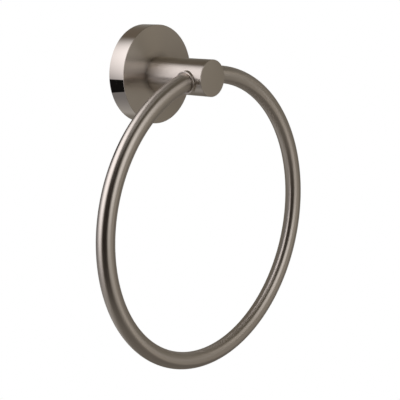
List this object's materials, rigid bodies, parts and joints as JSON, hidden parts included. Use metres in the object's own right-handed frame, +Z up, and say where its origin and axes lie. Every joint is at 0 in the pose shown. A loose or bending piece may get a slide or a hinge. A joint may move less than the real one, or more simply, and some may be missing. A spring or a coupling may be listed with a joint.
{
  "type": "towel ring",
  "caption": "Wall-mounted towel ring: a round flange and a plain post carry a round-section ring that swings in bushes.",
  "frame": {"origin": "on the wall's face, on the post's axis", "axes": "+X to the viewer's right along the ring's pivot, +Y into the wall, +Z up"},
  "size_m": [0.1716, 0.05, 0.1939],
  "materials": {
    "cast_zinc": "as-cast zinc alloy, dull grey",
    "flange_nickel": "satin nickel face with a polished rim",
    "post_nickel": "satin brushed nickel",
    "bush_nickel": "satin nickel",
    "ring_nickel": "satin brushed nickel",
    "plated_screw": "bright zinc plate"
  },
  "bodies": {
    "wall_fitting": {"wall_bracket": "cast_zinc", "mounting_hub": "cast_zinc", "flange_cover": "flange_nickel", "post": "post_nickel", "post_screw": "plated_screw", "set_screw": "plated_screw", "left_bush": "bush_nickel", "right_bush": "bush_nickel"},
    "ring": {"ring": "ring_nickel"}
  },
  "joints": [
    {"name": "ring_swing", "type": "hinge", "parent": "wall_fitting", "child": "ring", "pos_m": [0, -0.0397, -0.00085], "axis": [1, 0, 0], "range_deg": [-192, 12]}
  ]
}
